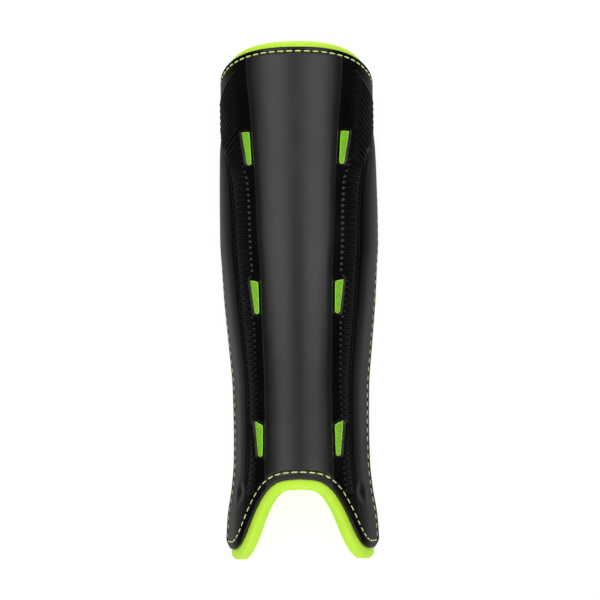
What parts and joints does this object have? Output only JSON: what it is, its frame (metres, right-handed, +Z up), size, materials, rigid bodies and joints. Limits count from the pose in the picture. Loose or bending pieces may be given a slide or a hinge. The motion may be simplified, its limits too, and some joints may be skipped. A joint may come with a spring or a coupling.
{
  "type": "field hockey shin guard",
  "caption": "Field hockey shin guard: black moulded shell with a raised centre panel, ribbed bands, vents and an ankle arch, over a lime foam lining.",
  "frame": {"origin": "on the surface that the guard lies on, under the middle of its length and width", "axes": "+Z up out of the front of the guard, +Y towards its knee end, +X to the right of someone who looks down at its front"},
  "size_m": [0.093, 0.3, 0.0604],
  "materials": {
    "moulded_shell": "satin moulded black, glossier in the channels and on the flanks",
    "lining_foam": "matte lime closed-cell foam",
    "stitch_thread": "pale lime polyester thread"
  },
  "bodies": {
    "root": {"outer_shell": "moulded_shell", "foam_lining": "lining_foam"}
  },
  "joints": []
}
